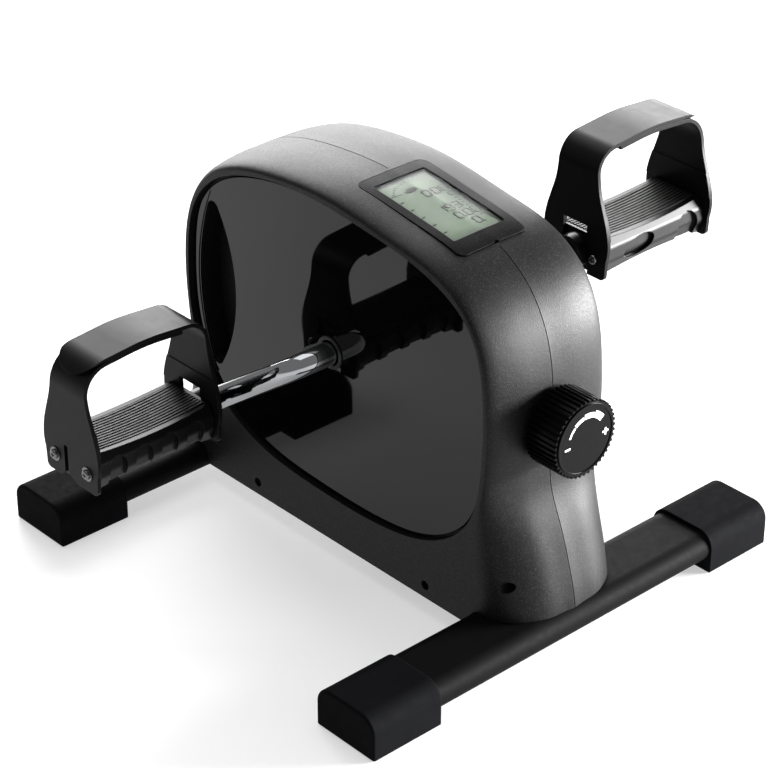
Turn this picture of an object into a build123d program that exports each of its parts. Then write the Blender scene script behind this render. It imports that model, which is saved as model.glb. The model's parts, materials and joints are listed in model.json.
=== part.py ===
from build123d import *
import os
from math import acos, atan2, cos, degrees, hypot, pi, radians, sin

# Pedal exerciser: a housing on two stabiliser bars, a bent chrome crank with two strapped
# pedals, a magnet-braked flywheel inside, a tension knob at the front, a counter on top.
# Millimetres.  +Z up, X along the crank axis, -Y towards the knob, origin on the floor
# midway between the two bars.

# ---- driving dimensions -------------------------------------------------------------
bar_spacing = 334.0          # between the centre lines of the two bars
bar_length = 372.0
bar_width = 53.0             # along Y
bar_height = 21.5
bar_top = 29.0
bar_wall = 1.8
cap_length = 59.3
cap_width = 55.6
cap_height = 32.0
cap_corner = 12.5
cap_end_wall = 4.0

housing_half = 53.7          # side faces at X = +-53.7
housing_bottom = 14.5
housing_wall = 2.6
crown_power = 2.4            # super-ellipse power of the crowned wrap
panel_face = 50.0            # outer face of the gloss panels
panel_back = 48.1
inner_half = 45.5            # inside face of the side walls
groove = 2.2                 # gap round the gloss panel
groove_floor = 46.5          # X of the bottom of that gap
lip = 1.3                    # rim outside that gap

crank_y = 4.5
crank_z = 165.0
rod_radius = 8.5
crank_radius = 89.4
crank_angle = 35.2           # left pedal below the horizontal, towards the rear
arm_inner = 80.0             # X of the bend at the axle
arm_outer = 92.0             # X of the bend at the spindle
axle_bend = 24.0
spindle_bend = 11.0
spindle_end = 205.0

pedal_inner = 112.5          # inboard face of the inner strap plate
pedal_outer = 219.5          # outboard face of the outer strap plate
plate_thick = 2.8            # strap plates and bands
tread_height = 14.5          # tread ends above the spindle axis
tread_sag = 2.5
strap_top = 83.5             # crest of the strap above the spindle axis
strap_fall = 4.5             # from the crest down to the plates
strap_gap = 0.15             # between the two bands
tongue_tip = 70.0            # lowest point of the inner band's rounded end
tongue_radius = 24.5
hub_radius = 12.5            # inboard collar of the pedal body
hub_tube = 8.9               # tube round the spindle inside the pedal
spindle_radius = 6.0         # the rod is turned down inside the pedal
spindle_shoulder = 104.5     # X where it is turned down
running = 0.06               # radial clearance of a running fit

frame_plate_in = 35.0        # inboard face of the steel side plates
frame_plate_out = 38.0
base_plate_thick = 3.0

flywheel_y = -70.0
flywheel_z = 112.0
flywheel_radius = 54.0
flywheel_x = (-18.0, -2.0)
pulley_x = (11.0, 23.0)
drive_pulley_radius = 62.0
small_pulley_radius = 12.0
belt_width = 8.0
belt_thick = 2.0
belt_gap = 0.15

knob_z = 163.0
knob_radius = 28.3
knob_front = -192.0
knob_back = -163.5
knob_flutes = 44
screw_radius = 4.0
nut_size = 18.0
nut_length = 12.0
nut_rest_y = -140.5
nut_travel = 6.0
pin_height = 8.5             # of the nut's cross pin above the screw axis
brake_pivot_y = -137.5
brake_pivot_z = 215.0
brake_gap = 2.0              # magnet face to flywheel at full tension

monitor_width = 60.5
monitor_length = 103.5
monitor_depth = 18.0
monitor_x = -1.5
monitor_y = -53.0
monitor_z = 281.8
monitor_tilt = 8.95          # degrees, front end down
monitor_proud = 0.5          # above the housing's crown at the middle of the counter
monitor_lean = 0.6           # degrees, the front edge stands prouder than the rear edge
lcd_width = 46.0
lcd_length = 79.0
lcd_x = -0.5                 # centre of the display from the centre of the counter
lcd_y = 2.0
plug_y = 24.0                # contact plug from the centre of the counter

bar_axis_z = bar_top - bar_height / 2
bar_axis_y = bar_spacing / 2
spindle_dy = crank_radius * cos(radians(crank_angle))
spindle_dz = crank_radius * sin(radians(crank_angle))
brake_lever = brake_pivot_z - knob_z - pin_height
brake_swing = degrees(nut_travel / brake_lever)

# side outline of the housing at X = +-53.7 (Y, Z), front foot over the top to rear foot
side_outline = [
    (-152, 14.5), (-151, 33), (-147, 58), (-143.5, 88), (-146, 108), (-151.5, 140),
    (-151.5, 185), (-146, 221), (-133, 246), (-107, 264.5), (-60, 274.5), (0, 282),
    (50, 280), (95, 271.5), (130, 253), (149, 225), (157, 184), (155, 140),
    (150, 108), (146, 88), (147, 58), (151, 33), (152, 14.5),
]
# the same outline on the centre seam
seam_outline = [
    (-188, 14.5), (-187.2, 33), (-181, 58), (-170, 90), (-161.5, 112), (-160, 140),
    (-160, 185), (-153.5, 222), (-138, 250.5), (-110, 271.5), (-62, 282.5), (0, 290),
    (52, 288), (98, 279.5), (136, 259.5), (156.5, 229), (165, 184), (164, 140),
    (163.5, 112), (170, 90), (181, 58), (187.2, 33), (188, 14.5),
]
# outer edge of the rim round each gloss panel
rim_outline = [
    (-150.5, 150), (-150, 197), (-134.5, 243), (-98, 265), (-40, 276), (23, 280.5),
    (88, 272), (126, 254), (148, 226), (156, 184), (152, 128), (127, 84),
    (85, 59), (22, 50), (-50, 50.5), (-107, 65.5), (-139, 96),
]


# ---- helpers --------------------------------------------------------------------------
def yz_plane(x):
    return Plane(origin=(x, 0, 0), x_dir=(0, 1, 0), z_dir=(1, 0, 0))


def yz_prism(face, x0, x1):
    """Face drawn in (Y, Z), from x0 to x1."""
    low, high = min(x0, x1), max(x0, x1)
    return extrude(yz_plane(low) * face, amount=high - low)


def xz_prism(face, y0, y1):
    """Face drawn in (X, Z), from y0 to y1."""
    plane = Plane(origin=(0, y1, 0), x_dir=(1, 0, 0), z_dir=(0, -1, 0))
    return extrude(plane * face, amount=y1 - y0)


def block(x0, x1, y0, y1, z0, z1):
    centre = ((x0 + x1) / 2, (y0 + y1) / 2, (z0 + z1) / 2)
    return Pos(*centre) * Box(abs(x1 - x0), abs(y1 - y0), abs(z1 - z0))


def x_rod(x0, x1, y, z, radius):
    return Pos((x0 + x1) / 2, y, z) * Rot(0, 90, 0) * Cylinder(radius, abs(x1 - x0))


def y_rod(y0, y1, x, z, radius):
    return Pos(x, (y0 + y1) / 2, z) * Rot(90, 0, 0) * Cylinder(radius, abs(y1 - y0))


def z_rod(z0, z1, x, y, radius):
    return Pos(x, y, (z0 + z1) / 2) * Cylinder(radius, abs(z1 - z0))


def x_ring(x0, x1, y, z, outer, inner):
    low, high = min(x0, x1), max(x0, x1)
    return x_rod(low, high, y, z, outer) - x_rod(low - 1, high + 1, y, z, inner)


def polygon(points, closed=True):
    return make_face(Polyline(*points, close=closed))


def moved_outline(points, distance, closed=False):
    """The outline's points moved along their outward normals (the outline runs clockwise)."""
    result = []
    count = len(points)
    for index, point in enumerate(points):
        before = points[index - 1] if closed or index else point
        after = points[(index + 1) % count] if closed or index < count - 1 else point
        along_y = after[0] - before[0]
        along_z = after[1] - before[1]
        size = hypot(along_y, along_z)
        result.append((point[0] - distance * along_z / size, point[1] + distance * along_y / size))
    return result


def crown_stations(half):
    """X and wrap fraction of the sections across the housing."""
    stations = []
    for angle in (0, 17, 35, 53, 70, 82, 90):
        x = half * sin(radians(angle)) ** (2 / crown_power)
        fraction = max(cos(radians(angle)), 0.0) ** (2 / crown_power)
        stations.append((x, 0.0 if angle == 90 else fraction))
    return [(-x, f) for x, f in reversed(stations)] + stations[1:]


def crowned_body(side, seam, half, bottom):
    """Loft of the side outline at both ends through the seam outline in the middle."""
    sections = []
    for x, fraction in crown_stations(half):
        points = []
        for (side_y, side_z), (seam_y, seam_z) in zip(side, seam):
            y = side_y + (seam_y - side_y) * fraction
            z = side_z + (seam_z - side_z) * fraction
            points.append((x, y, max(z, bottom)))
        top = Spline(*points)
        sections.append(Face(Wire([top, Line(points[-1], points[0])])))
    return loft(sections)


def oval(points, x0, x1):
    curve = Spline(*points, periodic=True)
    return yz_prism(make_face(curve), x0, x1)


def lens(height, front, rear, tip=0.0):
    """Lens in (Y, Z) about the grip's centre: a front and a rear arc, with rounded tips."""
    top = (grip_y, grip_z + height / 2)
    low = (grip_y, grip_z - height / 2)
    front_arc = ThreePointArc(top, (grip_y - front, grip_z), low)
    rear_arc = ThreePointArc(low, (grip_y + rear, grip_z), top)
    face = make_face(Wire([front_arc, rear_arc]))
    return fillet(face.vertices(), tip) if tip else face


def crown(raised):
    """The housing's outer form, grown outwards by raised."""
    return crowned_body(moved_outline(side_outline, raised), moved_outline(seam_outline, raised),
                        housing_half + raised, housing_bottom)


def counter_crown(raised):
    """The same form leaned about the counter's middle, for the counter's top faces."""
    lean = Pos(0, monitor_y, monitor_z) * Rot(-monitor_lean, 0, 0) * Pos(0, -monitor_y, -monitor_z)
    return lean * crown(raised)


grip_y = 131.0
grip_z = 169.0
grip_height = 144.0
grip_front = 24.0
grip_rear = 15.0
grip_tip = 6.0               # rounding of the pocket's two tips
grip_ledge = 0.6             # depth of the shallow step round the pocket
grip_floor = 31.0            # X of the pocket's floor
grip_wall = 2.0

base_screws = [(-96.4, 24.8), (82.5, 24.8)]
foot_screws = [(-168.0, 55.5), (168.0, 55.5)]
seam_width = 0.6
seam_depth = 0.8
saddle_gap = 0.4             # between the housing's feet and the bars
monitor_frame = Pos(monitor_x, monitor_y, monitor_z) * Rot(monitor_tilt, 0, 0)


# ---- bars and caps ----------------------------------------------------------------------
def flat_oval(width, height, corner):
    return RectangleRounded(width, height, corner)


def bar(y):
    outer = yz_prism(Pos(y, bar_axis_z) * flat_oval(bar_width, bar_height, bar_height / 2 - 0.05),
                     -bar_length / 2, bar_length / 2)
    inside_height = bar_height - 2 * bar_wall
    inner = yz_prism(Pos(y, bar_axis_z)
                     * flat_oval(bar_width - 2 * bar_wall, inside_height, inside_height / 2 - 0.05),
                     -bar_length / 2 - 1, bar_length / 2 + 1)
    return outer - inner


def bar_caps(y):
    """The two soft caps of one bar: flat sole, straight sides, rounded shoulders."""
    result = []
    outline = Pos(y, cap_height / 2) * Rectangle(cap_width, cap_height)
    outline = fillet(outline.vertices().group_by(Axis.Y)[-1], cap_corner)
    outline = fillet(outline.vertices().group_by(Axis.Y)[0], 1.2)
    end = bar_length / 2 + cap_end_wall
    for side in (-1, 1):
        body = yz_prism(outline, side * (end - cap_length), side * end)
        outer_face = body.faces().sort_by(Axis.X)[-1 if side > 0 else 0]
        body = fillet(outer_face.edges(), 2.0)
        hole = yz_prism(Pos(y, bar_axis_z) * flat_oval(bar_width, bar_height, bar_height / 2 - 0.05),
                        side * (end - cap_length - 1), side * bar_length / 2)
        result.append(body - hole)
    return result


# ---- housing ------------------------------------------------------------------------------
def housing():
    outer = crown(0)
    seam = block(-seam_width / 2, seam_width / 2, -220, 220, 0, 320) & outer
    body = outer - (seam - crown(-seam_depth))
    inner_side = moved_outline(side_outline, -housing_wall - 0.6)
    inner_seam = moved_outline(seam_outline, -housing_wall)
    body -= crowned_body(inner_side, inner_seam, inner_half, housing_bottom + housing_wall)

    # tub that holds the counter
    tub = monitor_frame * Pos(0, 0, -monitor_depth - 5) * rounded_slab(
        monitor_width + 5, monitor_length + 5, monitor_depth + 9, 8)
    body += tub & outer
    body -= monitor_frame * Pos(0, 0, -monitor_depth - 0.3) * rounded_slab(
        monitor_width + 0.6, monitor_length + 0.6, monitor_depth + 20, 6.3)
    plug_hole = monitor_frame * Pos(0, plug_y, -monitor_depth - 3) * Box(14.0, 8.0, 12.0)
    body -= plug_hole

    # hand grips, bosses, and the guide for the tension nut
    for side in (-1, 1):
        shell = yz_prism(lens(grip_height + 10, grip_front + grip_wall, grip_rear + grip_wall),
                         side * (grip_floor - grip_wall), side * (panel_back - 0.1))
        body += shell & outer
        pocket = lens(grip_height, grip_front, grip_rear, grip_tip)
        body -= yz_prism(pocket, side * grip_floor, side * 60)
    for y, z in base_screws:
        body += x_rod(-inner_half - 1, inner_half + 1, y, z, 4.0)
    for y, z in foot_screws:
        body += x_rod(-housing_half, housing_half, y, z, 5.5) & outer

    # recesses for the gloss panels, crank exits
    for side in (-1, 1):
        recess = moved_outline(rim_outline, -lip, True)
        seat = moved_outline(rim_outline, -lip - groove, True)
        body -= oval(recess, side * panel_back, side * 60)
        body -= oval(recess, side * groove_floor, side * 50) - oval(seat, side * 40, side * 60)
        body -= x_rod(side * 30, side * 60, crank_y, crank_z, 13.0)

    # screw recesses in the left half, pilot holes in the right half
    for y, z in base_screws:
        body -= x_rod(-60, -47.5, y, z, 3.6)
        body -= x_rod(-60, 30, y, z, 1.7)
    for y, z in foot_screws:
        body -= x_rod(-60, -34.0, y, z, 4.0)
        body -= x_rod(-60, 30, y, z, 1.7)

    # knob shaft hole, and the saddles over the two bars
    body -= y_rod(-170, -140, 0, knob_z, 8.0)
    for end in (-1, 1):
        saddle = Pos(end * bar_axis_y, bar_axis_z) * flat_oval(
            bar_width + 2 * saddle_gap, bar_height + 2 * saddle_gap, bar_height / 2 + saddle_gap - 0.05)
        body -= yz_prism(saddle, -60, 60)
        near = bar_axis_y - bar_width / 2 - saddle_gap
        body -= block(-60, 60, end * near, end * 200, 0, bar_axis_z)
    return body


def housing_half_shell(body, side):
    return body & block(0, side * 80, -220, 220, 0, 320)


def gloss_panel(side):
    panel = oval(moved_outline(rim_outline, -lip - groove, True), side * panel_back, side * panel_face)
    face = panel.faces().sort_by(Axis.X)[-1 if side > 0 else 0]
    panel = chamfer(face.edges(), 0.5)
    panel -= yz_prism(lens(grip_height + 0.6, grip_front + 0.3, grip_rear + 0.3, grip_tip),
                      side * (panel_back - 2), side * (panel_face + 2))
    panel -= yz_prism(lens(grip_height + 4, grip_front + 3.0, grip_rear + 1.8),
                      side * (panel_face - grip_ledge), side * (panel_face + 2))
    panel -= x_rod(side * 40, side * 60, crank_y, crank_z, 12.2)
    return panel


def crank_collar(side):
    """Black ring that closes the gap between the rod and the panel."""
    ring = x_ring(side * (inner_half - 1), side * (panel_face + 1.0), crank_y, crank_z, 12.1, 9.6)
    ring += x_ring(side * (inner_half - 2), side * (inner_half - 0.1), crank_y, crank_z, 14.5, 9.6)
    return ring


def housing_screws():
    result = []
    for y, z in base_screws:
        screw = x_rod(-50.5, -47.5, y, z, 3.2) + x_rod(-47.5, 14, y, z, 1.65)
        result.append(screw - cross_slot(-50.5, y, z, -1))
    for y, z in foot_screws:
        screw = x_rod(-37.0, -34.0, y, z, 3.6) + x_rod(-34.0, 14, y, z, 1.65)
        result.append(screw - cross_slot(-37.0, y, z, -1))
    return result


def cross_slot(x, y, z, facing):
    """Cross recess in a head whose face is at x and looks along facing * X."""
    depth = 1.4
    x0, x1 = (x - 1, x + depth) if facing < 0 else (x - depth, x + 1)
    return block(x0, x1, y - 2.0, y + 2.0, z - 0.45, z + 0.45) + block(
        x0, x1, y - 0.45, y + 0.45, z - 2.0, z + 2.0)


# ---- inner frame ------------------------------------------------------------------------------
def base_plate():
    top = bar_top + base_plate_thick
    plate = block(-frame_plate_out, frame_plate_out, -138, 138, bar_top, top)
    plate += block(-20, 20, -176, 176, bar_top, top)
    for y in (-bar_axis_y, bar_axis_y):
        for x in (-12, 12):
            plate -= z_rod(0, 60, x, y, 3.1)
    return plate


def frame_plate(side):
    """Steel side plate that carries the crank bearing and one end of the flywheel axle."""
    low = bar_top + base_plate_thick
    outline = [(-125, low), (-125, 52), (-113, 100), (-147, 206), (-145, 223), (-129, 223),
               (-98, 158), (-62, 158), (-30, 200), (38, 200), (62, 150), (104, 52), (104, low)]
    face = polygon(outline)
    face = fillet(face.vertices().filter_by(lambda v: v.Y > low + 1), 6)
    plate = yz_prism(face, side * frame_plate_in, side * frame_plate_out)
    plate -= x_rod(side * 30, side * 45, crank_y, crank_z, 21.0)
    plate -= x_rod(side * 30, side * 45, flywheel_y, flywheel_z, 5.1)
    plate -= x_rod(side * 30, side * 45, brake_pivot_y, brake_pivot_z, 3.0)
    for y in (-40, 30):
        plate -= x_rod(side * 30, side * 45, y, 72, 12)
    return plate


def bearing_cup(side):
    """Flanged cup pressed into a side plate."""
    cup = x_ring(side * 33.0, side * 43.0, crank_y, crank_z, 21.0, 17.5)
    cup += x_ring(side * 33.0, side * frame_plate_in, crank_y, crank_z, 24.0, 17.5)
    cup += x_ring(side * 31.4, side * 33.0, crank_y, crank_z, 24.0, 13.0)
    return cup


def crank_bearing(side):
    return x_ring(side * 33.0, side * 43.0, crank_y, crank_z, 17.5, rod_radius + running)


def frame_bolts():
    """Four bolts that clamp the bars up to the base plate."""
    result = []
    top = bar_top + base_plate_thick
    for y in (-bar_axis_y, bar_axis_y):
        for x in (-12, 12):
            bolt = z_rod(bar_top - bar_height - 3.5, bar_top - bar_height, x, y, 6.0)
            bolt += z_rod(bar_top - bar_height, top + 8, x, y, 3.0)
            bolt += Pos(x, y, top) * extrude(RegularPolygon(5.5, 6), amount=5)
            result.append(bolt)
    return result


def bar_with_bolt_holes(y):
    result = bar(y)
    for x in (-12, 12):
        result -= z_rod(0, 60, x, y, 3.1)
    return result


# ---- crank ---------------------------------------------------------------------------------
def crank_rod():
    """One bent rod: spindle, arm, axle, arm, spindle."""
    left = (crank_y + spindle_dy, crank_z - spindle_dz)
    right = (crank_y - spindle_dy, crank_z + spindle_dz)
    axis = (crank_y, crank_z)
    route = [(-spindle_shoulder, *left), (-arm_outer, *left), (-arm_inner, *axis),
             (arm_inner, *axis), (arm_outer, *right), (spindle_shoulder, *right)]
    path = FilletPolyline(*route, radius=[spindle_bend, axle_bend, axle_bend, spindle_bend])
    start = Plane(origin=route[0], z_dir=(1, 0, 0))
    rod = sweep(start * Circle(rod_radius), path=path)
    rod += x_rod(-spindle_end, -spindle_shoulder + 1, *left, spindle_radius)
    return rod + x_rod(spindle_shoulder - 1, spindle_end, *right, spindle_radius)


def crank_flange():
    """Steel disc welded to the rod that the drive pulley bolts to."""
    flange = x_ring(pulley_x[1], pulley_x[1] + 3.0, crank_y, crank_z, 24.0, rod_radius)
    for step in range(3):
        y, z = around(17.5, 120 * step)
        flange -= x_rod(pulley_x[1] - 1, pulley_x[1] + 4, y, z, 2.5)
    return flange


def around(radius, angle):
    return (crank_y + radius * cos(radians(angle)), crank_z + radius * sin(radians(angle)))


def drive_pulley():
    """Plastic pulley with two flanges, a web with round windows, and a hub."""
    x0, x1 = pulley_x
    edge = (x1 - x0 - belt_width) / 2 - 0.4
    pulley = x_ring(x0, x1, crank_y, crank_z, drive_pulley_radius, drive_pulley_radius - 6)
    pulley += x_ring(x0, x0 + edge, crank_y, crank_z, drive_pulley_radius + 4, drive_pulley_radius - 6)
    pulley += x_ring(x1 - edge, x1, crank_y, crank_z, drive_pulley_radius + 4, drive_pulley_radius - 6)
    pulley += x_ring(x0 + 4, x1 - 4, crank_y, crank_z, drive_pulley_radius - 5, 23)
    pulley += x_ring(x0, x1, crank_y, crank_z, 25, rod_radius)
    for step in range(6):
        y, z = around(40, 60 * step + 30)
        pulley -= x_rod(x0 - 1, x1 + 1, y, z, 9)
    for step in range(3):
        y, z = around(17.5, 120 * step)
        pulley -= x_rod(x0 - 1, x1 + 1, y, z, 2.5)
    y, z = around(52, 90)
    pulley += x_rod(x1 - 4, x1, y, z, 4.5)
    return pulley


def pulley_bolts():
    result = []
    for step in range(3):
        y, z = around(17.5, 120 * step)
        bolt = x_rod(pulley_x[0], pulley_x[1] + 3, y, z, 2.5)
        bolt += x_rod(pulley_x[1] + 3, pulley_x[1] + 5.5, y, z, 4.0)
        bolt += x_rod(pulley_x[0] - 2.5, pulley_x[0], y, z, 4.4)
        result.append(bolt)
    return result


def sensor_magnet():
    y, z = around(52, 90)
    return x_rod(pulley_x[1], pulley_x[1] + 2.5, y, z, 4.0)


def spindle_clips():
    """A washer and spring clip on the end of each spindle."""
    result = []
    for side in (-1, 1):
        y = crank_y - side * spindle_dy
        z = crank_z + side * spindle_dz
        x0, x1 = side * (spindle_end - 3.0), side * (spindle_end - 1.4)
        result.append(x_ring(x0, x1, y, z, 8.4, spindle_radius))
    return result


# ---- flywheel and belt ------------------------------------------------------------------------
def flywheel():
    x0, x1 = flywheel_x
    wheel = x_ring(x0, x1, flywheel_y, flywheel_z, flywheel_radius, 40)
    wheel += x_ring(x0 + 4, x1 - 4, flywheel_y, flywheel_z, 41, 17)
    wheel += x_ring(x0 - 4, x1 + 2, flywheel_y, flywheel_z, 18, 13)
    wheel += x_ring(x0 + 4, x1 - 6, flywheel_y, flywheel_z, 13.5, 6)
    for step in range(5):
        angle = radians(72 * step)
        wheel -= x_rod(x0 - 1, x1 + 1, flywheel_y + 29 * cos(angle), flywheel_z + 29 * sin(angle), 8)
    return wheel


def small_pulley():
    """Steel pulley on the flywheel's hub, on the belt's line."""
    x0, x1 = pulley_x
    edge = (x1 - x0 - belt_width) / 2 - 0.4
    pulley = x_ring(flywheel_x[1] + 2, x1, flywheel_y, flywheel_z, 9.0, 6)
    pulley += x_ring(flywheel_x[1] + 2, flywheel_x[1] + 5, flywheel_y, flywheel_z, 17, 6)
    pulley += x_ring(x0, x1, flywheel_y, flywheel_z, small_pulley_radius, 6)
    pulley += x_ring(x0, x0 + edge, flywheel_y, flywheel_z, small_pulley_radius + 4, 6)
    pulley += x_ring(x1 - edge, x1, flywheel_y, flywheel_z, small_pulley_radius + 4, 6)
    return pulley


def flywheel_bearings():
    x0, x1 = flywheel_x
    left = x_ring(x0 - 4, x0 + 4, flywheel_y, flywheel_z, 13, 5.0 + running)
    right = x_ring(x1 - 6, x1 + 2, flywheel_y, flywheel_z, 13, 5.0 + running)
    return [left, right]


def flywheel_axle():
    axle = x_rod(-44, 44, flywheel_y, flywheel_z, 5.0)
    axle += x_ring(-frame_plate_in, flywheel_x[0] - 4.3, flywheel_y, flywheel_z, 8, 4.5)
    axle += x_ring(pulley_x[1] + 0.4, frame_plate_in, flywheel_y, flywheel_z, 8, 4.5)
    return axle


def axle_nuts():
    result = []
    for side in (-1, 1):
        nut = yz_prism(Pos(flywheel_y, flywheel_z) * RegularPolygon(9, 6),
                       side * frame_plate_out, side * (frame_plate_out + 5))
        result.append(nut - x_rod(side * 30, side * 50, flywheel_y, flywheel_z, 5.0))
    return result


def belt_band(extra):
    """Closed band round both pulleys, its inside face at pulley radius + extra."""
    big = drive_pulley_radius + extra
    small = small_pulley_radius + extra
    distance = hypot(flywheel_y - crank_y, flywheel_z - crank_z)
    heading = atan2(flywheel_z - crank_z, flywheel_y - crank_y)
    lean = acos((big - small) / distance)
    points = []
    for radius, cy, cz in ((big, crank_y, crank_z), (small, flywheel_y, flywheel_z)):
        for sign in (1, -1):
            angle = heading + sign * lean
            points.append((cy + radius * cos(angle), cz + radius * sin(angle)))
    far_big = (crank_y - big * cos(heading), crank_z - big * sin(heading))
    far_small = (flywheel_y + small * cos(heading), flywheel_z + small * sin(heading))
    edges = [ThreePointArc(points[0], far_big, points[1]), Line(points[1], points[3]),
             ThreePointArc(points[3], far_small, points[2]), Line(points[2], points[0])]
    return make_face(Wire(edges))


def drive_belt():
    middle = (pulley_x[0] + pulley_x[1]) / 2
    low, high = middle - belt_width / 2, middle + belt_width / 2
    return yz_prism(belt_band(belt_gap + belt_thick), low, high) - yz_prism(
        belt_band(belt_gap), low - 1, high + 1)


# ---- tension knob and magnet brake ------------------------------------------------------------
def fluted_disc(y0, y1, radius, depth):
    points = []
    for step in range(knob_flutes):
        for part, reach in ((0.0, radius), (0.36, radius), (0.5, radius - depth), (0.86, radius - depth)):
            angle = 2 * pi * (step + part) / knob_flutes
            points.append((reach * cos(angle), knob_z + reach * sin(angle)))
    return xz_prism(polygon(points), y0, y1)


def tension_knob():
    """Fluted knob with a raised smooth face and a bevelled front edge."""
    body = fluted_disc(knob_front + 1.6, knob_back, knob_radius, 1.5)
    body += y_rod(knob_front + 0.6, knob_front + 4, 0, knob_z, knob_radius - 2.6)
    trim = y_rod(knob_front, knob_back, 0, knob_z, knob_radius + 1)
    trim = chamfer(trim.edges().group_by(Axis.Y)[0], 1.8)
    body &= trim
    body -= y_rod(knob_front - 1, knob_front + 1.2, 0, knob_z, knob_radius - 4.2)
    body -= y_rod(knob_back - 16, knob_back + 1, 0, knob_z, knob_radius - 5)
    body += y_rod(knob_back - 17, knob_back, 0, knob_z, 9)
    body -= y_rod(knob_back - 14, knob_back + 1, 0, knob_z, screw_radius)
    return body


def knob_scale():
    """Printed scale on the knob's face: a four-part widening arc, a minus and a plus."""
    face_y = knob_front + 1.2
    marks = []
    for step in range(4):
        start, stop = 158 - 31 * step, 158 - 31 * step - 28
        inner, outer = 15.6, 17.2 + 1.1 * step
        over = [(outer, angle) for angle in range(start, stop - 1, -4)]
        back = [(inner, angle) for angle in range(stop, start + 1, 4)]
        points = [(reach * cos(radians(angle)), knob_z + reach * sin(radians(angle)))
                  for reach, angle in over + back]
        marks.append(xz_prism(polygon(points), face_y - 0.3, face_y))
    marks.append(block(-19.4, -14.4, face_y - 0.3, face_y, knob_z - 2.0, knob_z - 0.6))
    plus = block(15.6, 21.0, face_y - 0.3, face_y, knob_z - 1.4, knob_z)
    plus += block(17.6, 19.0, face_y - 0.3, face_y, knob_z - 3.4, knob_z + 2.0)
    marks.append(plus)
    return marks


def tension_screw():
    """Shaft of the knob: a quick-lead screw that the tension nut rides on."""
    screw = y_rod(knob_back - 14, -127, 0, knob_z, screw_radius)
    for step in range(5):
        y = -128.5 - 4.0 * step
        screw -= y_rod(y - 0.5, y + 0.5, 0, knob_z, screw_radius + 1) - y_rod(
            y - 1, y + 1, 0, knob_z, screw_radius - 0.5)
    screw += y_rod(-152.8, -151.2, 0, knob_z, 6.5)
    return screw


def knob_bushing():
    """Flanged sleeve in the housing's front wall that the shaft turns in."""
    bush = y_rod(-162.8, -153.0, 0, knob_z, 7.9)
    bush += y_rod(-162.8, -160.6, 0, knob_z, 12.0)
    return bush - y_rod(-170, -150, 0, knob_z, screw_radius + running)


def tension_guide():
    """Square channel that keeps the nut from turning, open on top for the brake arm."""
    half = nut_size / 2 + 0.3
    low, high = knob_z - half, knob_z + pin_height + 4.3
    guide = block(-half - 2.0, half + 2.0, -150.5, -115, low - 2.0, high)
    guide -= block(-half, half, -148.5, -114, low, high + 1)
    guide -= y_rod(-155, -145, 0, knob_z, 5.0)
    for side in (-1, 1):
        guide += block(side * (half + 1.0), side * frame_plate_in, -119, -115, low - 2.0, low + 8.0)
        guide += block(side * (frame_plate_in - 3), side * frame_plate_in, -119, -100, 120, low + 8.0)
    return guide


def tension_nut():
    y0, y1 = nut_rest_y - nut_length / 2, nut_rest_y + nut_length / 2
    half = nut_size / 2
    top = knob_z + pin_height + 4
    nut = block(-half, half, y0, y1, knob_z - half, top)
    nut -= block(-2.8, 2.8, y0 - 1, y1 + 1, knob_z + screw_radius + 0.8, top + 1)
    nut -= y_rod(y0 - 1, y1 + 1, 0, knob_z, screw_radius + running)
    return nut + x_rod(-half, half, nut_rest_y, knob_z + pin_height, 2.0)


def brake_arm():
    """Arm on its pivot with a fork on the nut's pin and a curved shoe before the flywheel."""
    pivot = (brake_pivot_y, brake_pivot_z)
    pin_y = nut_rest_y + nut_travel
    pin_z = knob_z + pin_height
    inner = flywheel_radius + brake_gap + 2.6
    outer = inner + 4.0

    def at(radius, angle):
        return (flywheel_y + radius * cos(radians(angle)), flywheel_z + radius * sin(radians(angle)))

    shoe = make_face(Wire([
        ThreePointArc(at(inner, 148), at(inner, 173), at(inner, 198)),
        Line(at(inner, 198), at(outer, 198)),
        ThreePointArc(at(outer, 198), at(outer, 173), at(outer, 148)),
        Line(at(outer, 148), at(inner, 148))]))
    arm = yz_prism(shoe, flywheel_x[0], 14.8)
    for side in (-1, 1):
        x0, x1 = sorted((side * 12.9, side * 14.9))
        link = polygon([(brake_pivot_y - 5, brake_pivot_z + 5), (brake_pivot_y + 5, brake_pivot_z + 5),
                        (brake_pivot_y + 6, 190), at(outer - 0.5, 148), at(outer - 0.5, 160),
                        (brake_pivot_y - 5, 190)])
        arm += yz_prism(link, x0, x1)
    arm += x_rod(-14.9, 14.9, *pivot, 6.0)
    finger = polygon([(brake_pivot_y - 4, brake_pivot_z), (brake_pivot_y + 4, brake_pivot_z),
                      (pin_y + 5, pin_z + 4), (pin_y + 5, pin_z - 2.8), (pin_y - 5, pin_z - 2.8),
                      (pin_y - 5, pin_z + 4)])
    arm += yz_prism(finger, -2.4, 2.4)
    slot = polygon([(pin_y - 2.15, pin_z - 6), (pin_y + 2.15, pin_z - 6),
                    (pin_y + 2.15, pin_z + 2.6), (pin_y - 2.15, pin_z + 2.6)])
    arm -= yz_prism(slot, -4, 4)
    arm -= x_rod(-20, 20, *pivot, 3.0 + running)
    return swung_back(arm)


def swung_back(shape):
    """Turn a brake piece from full tension to its rest place about the pivot."""
    return shape.rotate(Axis((0, brake_pivot_y, brake_pivot_z), (1, 0, 0)), -brake_swing)


def brake_magnets():
    result = []
    reach = flywheel_radius + brake_gap + 1.1
    for step in range(4):
        angle = 155 + 12 * step
        centre_y = flywheel_y + reach * cos(radians(angle))
        centre_z = flywheel_z + reach * sin(radians(angle))
        magnet = Pos(-10, centre_y, centre_z) * Rot(angle, 0, 0) * Box(14, 2.4, 9)
        result.append(swung_back(magnet))
    return result


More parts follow.
